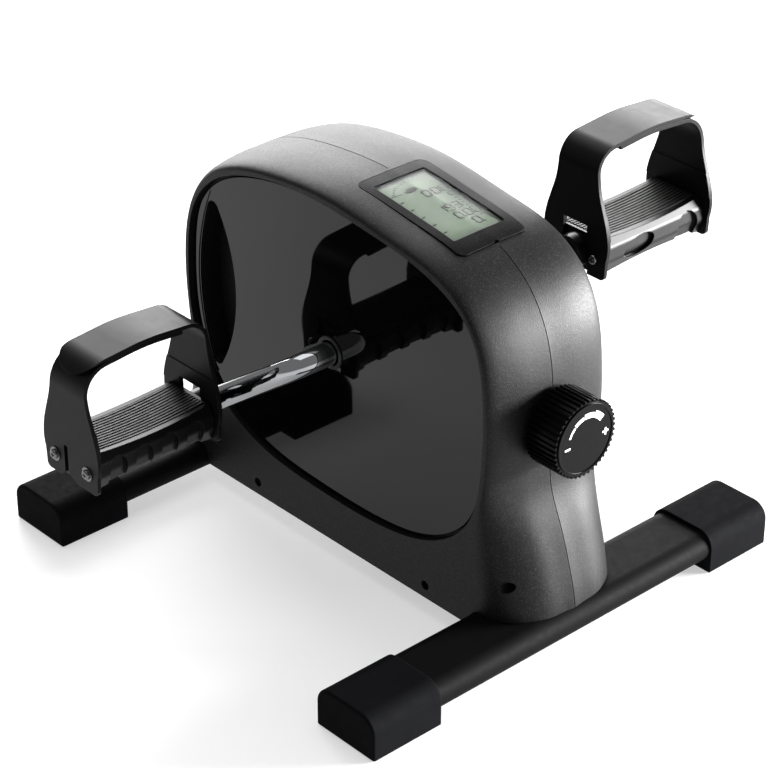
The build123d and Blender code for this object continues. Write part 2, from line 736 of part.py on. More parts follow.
def brake_pivot_pin():
    """Pin between the horns of the two frame plates, with a shoulder each side of the arm."""
    pin = x_rod(-frame_plate_out - 2, frame_plate_out + 2, brake_pivot_y, brake_pivot_z, 3.0)
    for side in (-1, 1):
        pin += x_rod(side * 15.3, side * frame_plate_in, brake_pivot_y, brake_pivot_z, 5.0)
    return pin


# ---- counter ----------------------------------------------------------------------------------
def rounded_slab(width, length, height, corner):
    return extrude(RectangleRounded(width, length, corner), amount=height)


def monitor_case():
    top = -1.6
    case = Pos(0, 0, -monitor_depth) * rounded_slab(
        monitor_width - 1, monitor_length - 1, monitor_depth + top, 5)
    case -= Pos(0, 0, -monitor_depth + 2) * rounded_slab(
        monitor_width - 5, monitor_length - 5, monitor_depth, 4)
    case -= Pos(0, -18, -monitor_depth + 1) * Box(16, 52, 6)
    case -= Pos(0, plug_y, -monitor_depth + 1) * Box(12, 6, 6)
    return monitor_frame * case


def monitor_bezel():
    """Frame round the display; its top follows the crown of the housing."""
    bezel = monitor_frame * Pos(0, 0, -1.6) * rounded_slab(monitor_width, monitor_length, 12, 6)
    bezel &= counter_crown(monitor_proud)
    top = bezel.faces().sort_by(Axis.Z)[-1]
    bezel = fillet(top.edges(), 0.4)
    skirt = Pos(0, 0, -3.2) * rounded_slab(monitor_width - 5.4, monitor_length - 5.4, 1.6, 4)
    bezel += monitor_frame * skirt
    bezel -= monitor_frame * Pos(lcd_x, lcd_y, -4) * rounded_slab(lcd_width, lcd_length, 14, 1.5)
    bezel -= monitor_frame * Pos(-monitor_x, -monitor_length / 2 - 0.8, 0) * Cylinder(2.4, 16)
    return bezel


def display_layer(inset, top, low, corner):
    """Sheet under the crown that fills the display opening, less inset all round."""
    column = monitor_frame * Pos(lcd_x, lcd_y, -10) * rounded_slab(
        lcd_width - 2 * inset, lcd_length - 2 * inset, 20, corner)
    return (column & counter_crown(top)) - counter_crown(low)


def monitor_lens():
    return display_layer(0.1, monitor_proud - 0.4, monitor_proud - 1.4, 1.4)


def monitor_lcd():
    return display_layer(0.5, monitor_proud - 1.7, monitor_proud - 3.7, 1.0)


def monitor_board():
    board = Pos(0, 0, -5.4) * rounded_slab(monitor_width - 8, monitor_length - 8, 1.6, 2)
    board += Pos(0, plug_y, -7.4) * Box(10, 5, 4)
    return monitor_frame * board


def monitor_battery():
    cell = Pos(0, -18, -10.9) * Rot(90, 0, 0) * Cylinder(5.2, 43)
    cell += Pos(0, 4.0, -10.9) * Rot(90, 0, 0) * Cylinder(1.9, 1.6)
    return monitor_frame * cell


def battery_door():
    return monitor_frame * Pos(0, -18, -monitor_depth) * extrude(RectangleRounded(15.6, 51.6, 1), amount=1.6)


def contact_socket():
    """Spring contacts that meet the back of the counter."""
    base = Pos(0, plug_y, -monitor_depth - 4.3) * Box(13, 7, 7.6)
    for x in (-3, 3):
        base += Pos(x, plug_y, -monitor_depth - 1.2) * Cylinder(0.9, 3)
    return monitor_frame * base


# ---- sensor --------------------------------------------------------------------------------------
sensor_y, sensor_z = crank_y, crank_z + 52.0
wire_radius = 1.3


def crank_sensor():
    """Reed switch on a bracket beside the drive pulley."""
    body = block(29.0, 34.0, sensor_y - 7, sensor_y + 7, sensor_z - 5, sensor_z + 5)
    return body + block(frame_plate_in - 3, frame_plate_in, sensor_y - 7, sensor_y + 7, 190, sensor_z + 5)


def sensor_wire():
    start = monitor_frame * Pos(3 - monitor_x, plug_y, -monitor_depth - 8.1)
    top = start.position
    route = [(31.5, sensor_y, sensor_z + 5), (31.5, sensor_y - 2, sensor_z + 16),
             (22, sensor_y - 16, sensor_z + 27), (8, -26, sensor_z + 33),
             (top.X, top.Y, top.Z - 6), (top.X, top.Y, top.Z)]
    radii = []
    for before, corner, after in zip(route, route[1:], route[2:]):
        run_in = Vector(*corner) - Vector(*before)
        run_out = Vector(*after) - Vector(*corner)
        half_turn = radians(run_in.get_angle(run_out)) / 2
        radii.append(0.45 * min(run_in.length, run_out.length) * cos(half_turn) / sin(half_turn))
    path = FilletPolyline(*route, radius=radii)
    plane = Plane(origin=route[0], z_dir=path % 0)
    return sweep(plane * Circle(wire_radius), path=path)


# ---- pedals ------------------------------------------------------------------------------------
# Built for the right side about the spindle axis (X outboard, Y and Z from the spindle's axis),
# then moved to the right spindle or mirrored to the left one.
body_in = pedal_inner + plate_thick
body_out = pedal_outer - plate_thick
pedal_middle = (body_in + body_out) / 2
screw_offset = 18.0
screw_z = -1.0
pad_seat = hub_tube + 0.2    # underside of the tread pad
pad_half = 18.0
body_wall = 5.0
recess_depth = 3.0
arch_low = -14.0             # lower edge of the pedal body at its ends
arch_rise = 4.5              # and how far it rises in the middle
finger_pitch = 22.0          # four finger arches along one side of the pedal
finger_width = 14.5
finger_top = 8.0
thumb_width = 20.0           # the one wide arch on the other side, and the oval beside it
thumb_top = 9.0
thumb_x = pedal_middle + 33.5
oval_x = pedal_middle - 16.5
oval_reach = (15.5, 7.0)
oval_lean = 10.0
crease_z = 33.5              # the plates are thicker below this height
crease_step = 0.6
tongue_face = pedal_outer + plate_thick + strap_gap

# barrel-shaped section of the pedal body (Y, Z)
barrel_outline = [
    (-21, -15), (-26.5, -3), (-25.5, 7), (-20.8, 15.5), (20.8, 15.5), (25.5, 7), (26.5, -3), (21, -15),
]


def barrel(inset, top):
    """The barrel section, inset all round and cut off at a height."""
    face = polygon(moved_outline(barrel_outline, -inset, True))
    sides = face.vertices().filter_by(lambda v: -10 < v.Y < 10)
    face = fillet(sides, 7.0)
    face = fillet(face.vertices().group_by(Axis.Y)[-1], 3.2 - 0.5 * inset)
    face = fillet(face.vertices().group_by(Axis.Y)[0], 2.6 - 0.3 * inset)
    return face & Pos(0, top - 30) * Rectangle(80, 60)


def sagged(top, low, x0, x1, rise=0.0):
    """Side view of a piece whose top dips in the middle and whose underside rises."""
    middle = (x0 + x1) / 2
    over = ThreePointArc((x0, top), (middle, top - tread_sag), (x1, top))
    under = ThreePointArc((x1, low), (middle, low + rise), (x0, low)) if rise else Line((x1, low), (x0, low))
    return make_face(Wire([over, Line((x1, top), (x1, low)), under, Line((x0, low), (x0, top))]))


def finger_arch(x, width, top):
    """Recess outline (X, Z) with a round top, open at the bottom."""
    shoulder = top - width / 2
    return Pos(x, shoulder - 15) * Rectangle(width, 30) + Pos(x, shoulder) * Circle(width / 2)


def pedal_body():
    body = yz_prism(barrel(0, 20), body_in, body_out)
    ends = body.faces().sort_by(Axis.X)
    body = fillet(ends[0].edges() + ends[-1].edges(), 1.6)
    body &= xz_prism(sagged(tread_height, arch_low, body_in, body_out, arch_rise), -40, 40)
    body -= yz_prism(barrel(body_wall, pad_seat - 2.6), body_in + 3, body_out - 3)
    body -= block(body_in + 3, body_out - 3, -pad_half - 0.2, pad_half + 0.2, pad_seat, 30)
    # an oval and one arch on the side that faces -Y, four arches on the other side
    core = yz_prism(barrel(recess_depth, 20), body_in - 1, body_out + 1)
    plain = xz_prism(Pos(oval_x, 0) * Rot(0, 0, oval_lean) * Ellipse(*oval_reach), -40, -12)
    plain += xz_prism(finger_arch(thumb_x, thumb_width, thumb_top), -40, -12)
    body -= plain - core
    for step in range(4):
        x = pedal_middle + finger_pitch * (step - 1.5)
        body -= xz_prism(finger_arch(x, finger_width, finger_top), 12, 40) - core
    # hub tube round the spindle, ribs, and bosses for the plate screws
    body += x_rod(spindle_shoulder + 0.3, body_in + 3, 0, 0, hub_radius)
    body += x_rod(body_in, 201, 0, 0, hub_tube)
    for x in (pedal_middle - 25, pedal_middle + 25):
        body += block(x - 1.2, x + 1.2, -21, 21, -8.8, pad_seat - 1)
    for side in (-1, 1):
        for x0, x1 in ((body_in, body_in + 14), (body_out - 14, body_out)):
            body += x_rod(x0, x1, side * screw_offset, screw_z, 4.2)
    body -= x_rod(90, body_out - 3, 0, 0, spindle_radius + running)
    body -= x_rod(201, body_out - 3, 0, 0, 9.0)
    for side in (-1, 1):
        body -= x_rod(body_in - 1, body_in + 12, side * screw_offset, screw_z, 1.9)
        body -= x_rod(body_out - 12, body_out + 1, side * screw_offset, screw_z, 1.9)
    return body


def pedal_tread():
    """Rubber pad let into the top, with fine ribs along its length."""
    x0, x1 = body_in + 3.2, body_out - 3.2
    pad = xz_prism(sagged(tread_height - 1.0, pad_seat, x0, x1), -pad_half, pad_half)
    reach = pad_half - 1.4
    ribs = 12
    for step in range(ribs):
        y = -reach + 2 * reach * step / (ribs - 1)
        pad += xz_prism(sagged(tread_height + 0.3, pad_seat, x0, x1), y - 0.75, y + 0.75)
    return pad


def plate_outline():
    """End view (Y, Z) of plates and strap: wide legs, a waist, and a narrower band."""
    right = [(28.3, -15), (29.2, 0), (30.2, 17), (25.2, 35), (20.3, 51), (18.6, 65), (18.4, 76)]
    left = [(-y, z) for y, z in reversed(right)]
    high = strap_top + 10
    edges = [Line(right[0], right[1]), Spline(*right[1:]), Line(right[-1], (18.4, high)),
             Line((18.4, high), (-18.4, high)), Line((-18.4, high), left[0]), Spline(*left[:-1]),
             Line(left[-2], left[-1]), Line(left[-1], right[0])]
    face = make_face(Wire(edges))
    return fillet(face.vertices().group_by(Axis.Y)[0], 4.0)


def arch_z(x, lift):
    """Height of a band's outer face at x, lift below the top band."""
    return strap_top - lift - strap_fall * abs(x - pedal_middle) / (pedal_outer - pedal_middle)


def strap_blank(path, radii, side):
    """A plate and its band, bent along the path of its outer face and cut to the end view."""
    line = FilletPolyline(*path, radius=radii)
    strip = make_face(offset(line, amount=plate_thick, side=side))
    return xz_prism(strip, -40, 40)


def inner_strap():
    """Inboard plate; its band runs over the top and ends in a tongue round the far corner."""
    path = [(pedal_inner, -15), (pedal_inner, arch_z(pedal_inner, 0)), (pedal_middle, strap_top),
            (tongue_face, arch_z(tongue_face, 0)), (tongue_face, tongue_tip - 15)]
    body = strap_blank(path, [18.0, 160.0, 22.0 + plate_thick + strap_gap], Side.RIGHT)
    body += block(body_in - 1, body_in + crease_step, -40, 40, tread_height + 0.8, crease_z)
    body &= yz_prism(plate_outline(), 90, 230)
    # rounded end of the tongue
    reach = 22.0
    shoulder = tongue_tip + tongue_radius - (tongue_radius ** 2 - reach ** 2) ** 0.5
    tip = ThreePointArc((-reach, shoulder), (0, tongue_tip), (reach, shoulder))
    below = Polyline((reach, shoulder), (reach, 40), (-reach, 40), (-reach, shoulder))
    body -= yz_prism(make_face(Wire([tip] + below.edges())), 190, 230)
    # keyhole for the hub and the screw holes
    body -= x_rod(90, 130, 0, 0, hub_radius + 0.05)
    body -= block(90, 130, -hub_radius + 0.5, hub_radius - 0.5, -20, 0)
    body -= block(90, 130, -10.5, 12.0, 0, 22.0)
    for side in (-1, 1):
        body -= x_rod(90, 130, side * screw_offset, screw_z, 2.2)
    return body


def outer_strap():
    """Outboard plate whose band runs under the inner strap's band."""
    lift = plate_thick + strap_gap
    end_x = pedal_inner + 22
    path = [(pedal_outer, -15), (pedal_outer, arch_z(pedal_outer, lift)),
            (pedal_middle, arch_z(pedal_middle, lift)), (end_x, arch_z(end_x, lift))]
    body = strap_blank(path, [22.0, 160.0], Side.LEFT)
    body += block(body_out + 1, body_out - crease_step, -40, 40, tread_height + 0.8, crease_z)
    body &= yz_prism(plate_outline(), 90, 230)
    # narrow slot and the raised middle of the lower edge
    body -= block(200, 230, 3.8, 7.8, -16, 9) + x_rod(200, 230, 5.8, 9, 2.0)
    body -= yz_prism(polygon([(14, -16), (6, -9.5), (-9, -16)]), 200, 230)
    for side in (-1, 1):
        body -= x_rod(200, 230, side * screw_offset, screw_z, 2.2)
    return body


def pedal_screws():
    result = []
    for side in (-1, 1):
        y = side * screw_offset
        outer = x_rod(body_out - 12, pedal_outer, y, screw_z, 1.9)
        outer += x_rod(pedal_outer, pedal_outer + 0.8, y, screw_z, 5.2)
        head = x_rod(pedal_outer + 0.8, pedal_outer + 3.0, y, screw_z, 3.6)
        outer += fillet(head.edges().group_by(Axis.X)[-1], 1.6)
        result.append(outer - cross_slot(pedal_outer + 3.0, y, screw_z, 1))
        inner = x_rod(pedal_inner, body_in + 12, y, screw_z, 1.9)
        head = x_rod(pedal_inner - 2.6, pedal_inner, y, screw_z, 3.6)
        inner += fillet(head.edges().group_by(Axis.X)[0], 1.6)
        result.append(inner - cross_slot(pedal_inner - 2.6, y, screw_z, -1))
    return result


def placed(shape, side, turned=False):
    """Move a pedal piece to the right (1) or left (-1) spindle, mirrored or turned round."""
    if side < 0:
        shape = Rot(0, 0, 180) * shape if turned else mirror(shape, about=Plane.YZ)
    return Pos(0, crank_y - side * spindle_dy, crank_z + side * spindle_dz) * shape


# ---- write the parts ------------------------------------------------------------------------------
def save(name, shape):
    if isinstance(shape, list):
        solids = [solid for piece in shape for solid in piece.solids()]
    else:
        solids = list(shape.solids())
    result = solids[0] if len(solids) == 1 else Compound(children=solids)
    export_step(result, f"parts/{name}.step")


def main():
    os.makedirs("parts", exist_ok=True)
    save("front_bar", bar_with_bolt_holes(-bar_axis_y))
    save("rear_bar", bar_with_bolt_holes(bar_axis_y))
    save("front_bar_caps", bar_caps(-bar_axis_y))
    save("rear_bar_caps", bar_caps(bar_axis_y))
    save("base_plate", base_plate())
    save("frame_bolts", frame_bolts())

    whole = housing()
    for side, name in ((-1, "left"), (1, "right")):
        save(f"{name}_housing", housing_half_shell(whole, side))
        save(f"{name}_gloss_panel", gloss_panel(side))
        save(f"{name}_crank_collar", crank_collar(side))
        save(f"{name}_frame_plate", frame_plate(side))
    save("bearing_cups", [bearing_cup(-1), bearing_cup(1)])
    save("crank_bearings", [crank_bearing(-1), crank_bearing(1)])
    save("housing_screws", housing_screws())

    save("crank_rod", crank_rod())
    save("crank_flange", crank_flange())
    save("drive_pulley", drive_pulley())
    save("pulley_bolts", pulley_bolts())
    save("sensor_magnet", sensor_magnet())
    save("spindle_clips", spindle_clips())

    save("flywheel", flywheel())
    save("flywheel_pulley", small_pulley())
    save("flywheel_bearings", flywheel_bearings())
    save("flywheel_axle", flywheel_axle())
    save("axle_nuts", axle_nuts())
    save("drive_belt", drive_belt())

    save("tension_knob", tension_knob())
    save("knob_scale", knob_scale())
    save("tension_screw", tension_screw())
    save("knob_bushing", knob_bushing())
    save("tension_guide", tension_guide())
    save("tension_nut", tension_nut())
    save("brake_arm", brake_arm())
    save("brake_magnets", brake_magnets())
    save("brake_pivot_pin", brake_pivot_pin())

    save("monitor_case", monitor_case())
    save("monitor_bezel", monitor_bezel())
    save("monitor_lens", monitor_lens())
    save("monitor_lcd", monitor_lcd())
    save("monitor_board", monitor_board())
    save("monitor_battery", monitor_battery())
    save("battery_door", battery_door())
    save("contact_socket", contact_socket())
    save("crank_sensor", crank_sensor())
    save("sensor_wire", sensor_wire())

    for side, name in ((-1, "left"), (1, "right")):
        save(f"{name}_pedal_body", placed(pedal_body(), side, turned=True))
        save(f"{name}_pedal_tread", placed(pedal_tread(), side))
        save(f"{name}_inner_strap", placed(inner_strap(), side))
        save(f"{name}_outer_strap", placed(outer_strap(), side))
        save(f"{name}_pedal_screws", [placed(screw, side) for screw in pedal_screws()])


main()
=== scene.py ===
import json
import math

import bmesh
import bpy
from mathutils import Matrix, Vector
from mathutils.bvhtree import BVHTree

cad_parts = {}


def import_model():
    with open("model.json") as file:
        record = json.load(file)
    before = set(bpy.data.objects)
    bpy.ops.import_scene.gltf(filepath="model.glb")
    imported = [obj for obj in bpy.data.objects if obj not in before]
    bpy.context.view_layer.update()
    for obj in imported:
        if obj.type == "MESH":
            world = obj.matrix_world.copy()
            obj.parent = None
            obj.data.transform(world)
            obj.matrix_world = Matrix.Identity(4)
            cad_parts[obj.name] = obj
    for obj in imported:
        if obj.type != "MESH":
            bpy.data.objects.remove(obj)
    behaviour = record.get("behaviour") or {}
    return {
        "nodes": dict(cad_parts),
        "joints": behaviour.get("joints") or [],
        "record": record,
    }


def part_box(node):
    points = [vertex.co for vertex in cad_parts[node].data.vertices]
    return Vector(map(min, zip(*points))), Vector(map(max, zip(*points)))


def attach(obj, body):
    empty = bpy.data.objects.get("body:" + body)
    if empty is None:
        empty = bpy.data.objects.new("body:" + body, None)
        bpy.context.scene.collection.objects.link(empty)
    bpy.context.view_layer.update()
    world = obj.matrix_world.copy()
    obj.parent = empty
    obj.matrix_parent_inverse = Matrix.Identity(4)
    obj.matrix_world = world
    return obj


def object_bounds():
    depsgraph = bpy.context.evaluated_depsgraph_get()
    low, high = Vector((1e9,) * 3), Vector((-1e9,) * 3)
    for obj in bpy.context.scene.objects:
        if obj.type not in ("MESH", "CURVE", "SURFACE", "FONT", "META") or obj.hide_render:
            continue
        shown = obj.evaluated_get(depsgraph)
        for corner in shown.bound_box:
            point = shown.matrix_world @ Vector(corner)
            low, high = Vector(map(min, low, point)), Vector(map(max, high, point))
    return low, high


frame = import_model()
CAD_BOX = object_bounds()
NODES = frame["nodes"]
MM = 0.001


# ---- shader helpers -------------------------------------------------------------------
def new_material(name):
    material = bpy.data.materials.new(name)
    material.use_nodes = True
    nodes = material.node_tree.nodes
    return material, nodes, material.node_tree.links, nodes["Principled BSDF"]


def add(nodes, kind, **settings):
    node = nodes.new(kind)
    for key, value in settings.items():
        setattr(node, key, value)
    return node


def noise(nodes, links, vector, scale, detail=3.0, rough=0.55, stretch=(1, 1, 1)):
    """Fractal noise; scale is in features per metre."""
    mapping = add(nodes, "ShaderNodeMapping")
    mapping.inputs["Scale"].default_value = stretch
    links.new(vector, mapping.inputs["Vector"])
    node = add(nodes, "ShaderNodeTexNoise")
    node.inputs["Scale"].default_value = scale
    node.inputs["Detail"].default_value = detail
    node.inputs["Roughness"].default_value = rough
    links.new(mapping.outputs["Vector"], node.inputs["Vector"])
    return node.outputs["Fac"]


def ranged(nodes, links, value, low, high, from_low=0.3, from_high=0.7):
    node = add(nodes, "ShaderNodeMapRange")
    node.inputs["From Min"].default_value = from_low
    node.inputs["From Max"].default_value = from_high
    node.inputs["To Min"].default_value = low
    node.inputs["To Max"].default_value = high
    links.new(value, node.inputs["Value"])
    return node.outputs["Result"]


def mixed(nodes, links, factor, first, second):
    node = add(nodes, "ShaderNodeMix", data_type="RGBA")
    links.new(factor, node.inputs["Factor"])
    for socket, value in ((node.inputs[6], first), (node.inputs[7], second)):
        if isinstance(value, tuple):
            socket.default_value = (*value, 1.0)
        else:
            links.new(value, socket)
    return node.outputs[2]


LEAST_BEVEL, RIM_REACH = 0.4, 1.4     # mm, and the worn rim's reach as a multiple of the bevel
RIM_FADE = (0.80, 0.985)             # cosine of the turn at which a worn rim is full and is gone
RIM_BREAKS = 420.0                   # breaks in a worn rim, per metre


def finish_of(name, color, rough, *, metallic=0.0, specular=0.5, coat=0.0, coat_rough=0.1,
              mottle=(60.0, 0.12), rough_vary=(140.0, 0.08), grain=None, fine=None, speck=None,
              edge=None, bevel=0.0, stretch=(1, 1, 1), sheen=0.0, anisotropy=0.0):
    """A moulded, painted, rubber or metal finish.

    mottle and rough_vary are (features per metre, amount); grain and fine are bump layers
    (features per metre, height in mm, strength); speck is (cells per metre, share, color);
    edge is (color, amount) of the worn or polished edges; bevel rounds edges by that many mm.
    """
    material, nodes, links, shader = new_material(name)
    where = add(nodes, "ShaderNodeTexCoord").outputs["Object"]
    shader.inputs["Metallic"].default_value = metallic
    shader.inputs["Specular IOR Level"].default_value = specular
    shader.inputs["Coat Weight"].default_value = coat
    shader.inputs["Coat Roughness"].default_value = coat_rough
    shader.inputs["Sheen Weight"].default_value = sheen
    shader.inputs["Anisotropic"].default_value = anisotropy

    scale, amount = mottle
    blotch = ranged(nodes, links, noise(nodes, links, where, scale, 4.0, stretch=stretch), 0.0, 1.0)
    dark = tuple(c * (1 - amount) for c in color)
    light = tuple(min(c * (1 + amount), 1.0) for c in color)
    tone = mixed(nodes, links, blotch, dark, light)

    scale, amount = rough_vary
    sheen_map = noise(nodes, links, where, scale, 5.0, stretch=stretch)
    roughness = ranged(nodes, links, sheen_map, max(rough - amount, 0.01), min(rough + amount, 1.0))

    if speck:
        cells = add(nodes, "ShaderNodeTexVoronoi")
        cells.inputs["Scale"].default_value = speck[0]
        links.new(where, cells.inputs["Vector"])
        split = add(nodes, "ShaderNodeSeparateColor")
        links.new(cells.outputs["Color"], split.inputs["Color"])
        chosen = ranged(nodes, links, split.outputs[0], 0.0, 1.0, 1.0 - speck[1], 1.0)
        tone = mixed(nodes, links, chosen, tone, speck[2])

    rounded = None
    if bevel:
        rounded = add(nodes, "ShaderNodeBevel", samples=4)
        rounded.inputs["Radius"].default_value = bevel * MM
    if edge:
        wide = add(nodes, "ShaderNodeBevel", samples=4)
        wide.inputs["Radius"].default_value = max(bevel, LEAST_BEVEL) * RIM_REACH * MM
        geometry = add(nodes, "ShaderNodeNewGeometry")
        dot = add(nodes, "ShaderNodeVectorMath", operation="DOT_PRODUCT")
        links.new(wide.outputs["Normal"], dot.inputs[0])
        links.new(geometry.outputs["True Normal"], dot.inputs[1])
        rim = ranged(nodes, links, dot.outputs["Value"], edge[1], 0.0, *RIM_FADE)
        broken = ranged(nodes, links, noise(nodes, links, where, RIM_BREAKS, 4.0), 0.35, 1.0)
        both = add(nodes, "ShaderNodeMath", operation="MULTIPLY")
        links.new(rim, both.inputs[0])
        links.new(broken, both.inputs[1])
        tone = mixed(nodes, links, both.outputs[0], tone, edge[0])

    links.new(tone, shader.inputs["Base Color"])
    links.new(roughness, shader.inputs["Roughness"])

    normal = rounded.outputs["Normal"] if rounded else None
    for layer in (grain, fine):
        if not layer:
            continue
        bump = add(nodes, "ShaderNodeBump")
        bump.inputs["Strength"].default_value = layer[2]
        bump.inputs["Distance"].default_value = layer[1] * MM
        links.new(noise(nodes, links, where, layer[0], 2.0, stretch=stretch), bump.inputs["Height"])
        if normal:
            links.new(normal, bump.inputs["Normal"])
        normal = bump.outputs["Normal"]
    if normal:
        links.new(normal, shader.inputs["Normal"])
    return material


# ---- materials ------------------------------------------------------------------------
HOUSING = finish_of("housing_plastic", (0.0042, 0.0042, 0.0044), 0.46, specular=0.15,
                    mottle=(30.0, 0.10), rough_vary=(900.0, 0.06), grain=(1300.0, 0.16, 0.9),
                    fine=(3600.0, 0.03, 0.4), speck=(1500.0, 0.26, (0.018, 0.018, 0.019)), bevel=0.5)
PIANO = finish_of("piano_black", (0.0010, 0.0010, 0.0011), 0.030, specular=0.27,
                  mottle=(20.0, 0.1), rough_vary=(18.0, 0.02), grain=(9.0, 0.02, 0.2),
                  speck=(900.0, 0.003, (0.002, 0.002, 0.002)), bevel=0.4)
BAR_PAINT = finish_of("bar_paint", (0.0026, 0.0026, 0.0028), 0.62, specular=0.04,
                      mottle=(40.0, 0.15), rough_vary=(260.0, 0.05), grain=(900.0, 0.03, 0.3),
                      fine=(3000.0, 0.012, 0.3))
CAP_RUBBER = finish_of("cap_rubber", (0.0030, 0.0031, 0.0038), 0.78, specular=0.03,
                       mottle=(35.0, 0.12), rough_vary=(180.0, 0.06), grain=(1800.0, 0.04, 0.35),
                       fine=(260.0, 0.04, 0.12), edge=((0.016, 0.017, 0.019), 0.4), bevel=0.9)
COLLAR = finish_of("collar_plastic", (0.005, 0.005, 0.005), 0.35, grain=(1500.0, 0.03, 0.3), bevel=0.4)
CHROME = finish_of("crank_chrome", (0.36, 0.37, 0.38), 0.045, metallic=1.0, mottle=(50.0, 0.04),
                   rough_vary=(90.0, 0.02), grain=(60.0, 0.02, 0.15), stretch=(0.35, 1, 1))
FRAME_PAINT = finish_of("frame_paint", (0.014, 0.014, 0.015), 0.42, grain=(900.0, 0.04, 0.4),
                        edge=((0.12, 0.12, 0.12), 0.4), bevel=0.4)
ZINC = finish_of("zinc_steel", (0.52, 0.52, 0.50), 0.30, metallic=1.0, mottle=(160.0, 0.12),
                 rough_vary=(400.0, 0.1), grain=(700.0, 0.02, 0.3), bevel=0.3, anisotropy=0.3)
BLACK_SCREW = finish_of("black_screw", (0.02, 0.02, 0.02), 0.34, metallic=0.7, grain=(900.0, 0.02, 0.3),
                        edge=((0.2, 0.2, 0.2), 0.5), bevel=0.25)
PEDAL_SCREW = finish_of("pedal_screw", (0.15, 0.15, 0.155), 0.16, metallic=1.0, mottle=(500.0, 0.1),
                        rough_vary=(700.0, 0.05), grain=(900.0, 0.01, 0.2), bevel=0.25)
PULLEY = finish_of("pulley_plastic", (0.03, 0.03, 0.03), 0.45, grain=(900.0, 0.04, 0.4), bevel=0.3)
NICKEL = finish_of("magnet_nickel", (0.6, 0.6, 0.57), 0.22, metallic=1.0, mottle=(300.0, 0.1), bevel=0.3)
IRON = finish_of("flywheel_iron", (0.11, 0.11, 0.112), 0.42, metallic=0.85, mottle=(220.0, 0.25),
                 rough_vary=(500.0, 0.12), grain=(800.0, 0.05, 0.5), edge=((0.4, 0.4, 0.4), 0.5), bevel=0.3)
BELT = finish_of("belt_rubber", (0.012, 0.012, 0.012), 0.6, grain=(1200.0, 0.06, 0.5))
KNOB = finish_of("knob_plastic", (0.0012, 0.0012, 0.0013), 0.22, specular=0.06, mottle=(60.0, 0.1),
                 rough_vary=(500.0, 0.06), grain=(1900.0, 0.03, 0.4),
                 edge=((0.012, 0.012, 0.012), 0.4), bevel=0.35)
PRINT = finish_of("scale_print", (0.78, 0.78, 0.78), 0.45, mottle=(900.0, 0.06), grain=(2500.0, 0.01, 0.3))
NYLON = finish_of("bush_nylon", (0.62, 0.60, 0.54), 0.42, grain=(900.0, 0.03, 0.3), bevel=0.3)
BRASS = finish_of("nut_brass", (0.62, 0.44, 0.17), 0.27, metallic=1.0, mottle=(300.0, 0.15), bevel=0.3)
BEZEL = finish_of("monitor_plastic", (0.0025, 0.0025, 0.0027), 0.36, specular=0.035, mottle=(40.0, 0.1),
                  rough_vary=(600.0, 0.05), grain=(1500.0, 0.07, 0.6), fine=(3600.0, 0.02, 0.3),
                  speck=(1600.0, 0.10, (0.018, 0.018, 0.019)), bevel=0.35)
BOARD = finish_of("board_green", (0.02, 0.13, 0.05), 0.3, mottle=(900.0, 0.3))
CELL = finish_of("cell_jacket", (0.08, 0.11, 0.16), 0.3, metallic=0.4, mottle=(200.0, 0.2))
SOCKET = finish_of("socket_plastic", (0.02, 0.02, 0.02), 0.5, grain=(900.0, 0.03, 0.3))
WIRE = finish_of("wire_jacket", (0.012, 0.012, 0.012), 0.5, grain=(900.0, 0.03, 0.3))
PEDAL = finish_of("pedal_plastic", (0.0010, 0.0010, 0.0011), 0.34, specular=0.17, mottle=(50.0, 0.2),
                  rough_vary=(220.0, 0.012), grain=(1400.0, 0.01, 0.2), bevel=0.8)
TREAD = finish_of("tread_rubber", (0.0060, 0.0060, 0.0064), 0.50, specular=0.2, mottle=(120.0, 0.2),
                  rough_vary=(300.0, 0.08), grain=(1500.0, 0.05, 0.35),
                  edge=((0.03, 0.03, 0.03), 0.4), bevel=0.3)
STRAP = finish_of("strap_plastic", (0.0036, 0.0036, 0.0038), 0.38, specular=0.09, mottle=(45.0, 0.08),
                  rough_vary=(160.0, 0.03), grain=(1900.0, 0.02, 0.3), fine=(90.0, 0.04, 0.10),
                  edge=((0.012, 0.012, 0.012), 0.35), bevel=0.5)


def window_material():
    """Thin clear window: mostly see-through, with a softly polished face."""
    material, nodes, links, shader = new_material("monitor_window")
    where = add(nodes, "ShaderNodeTexCoord").outputs["Object"]
    shader.inputs["Base Color"].default_value = (0.01, 0.011, 0.01, 1.0)
    shader.inputs["Specular IOR Level"].default_value = 0.5
    shader.inputs["Alpha"].default_value = 0.11
    smear = noise(nodes, links, where, 70.0, 4.0)
    links.new(ranged(nodes, links, smear, 0.11, 0.15), shader.inputs["Roughness"])
    bump = add(nodes, "ShaderNodeBump")
    bump.inputs["Strength"].default_value = 0.02
    bump.inputs["Distance"].default_value = 0.01 * MM
    links.new(noise(nodes, links, where, 25.0, 2.0), bump.inputs["Height"])
    links.new(bump.outputs["Normal"], shader.inputs["Normal"])
    return material


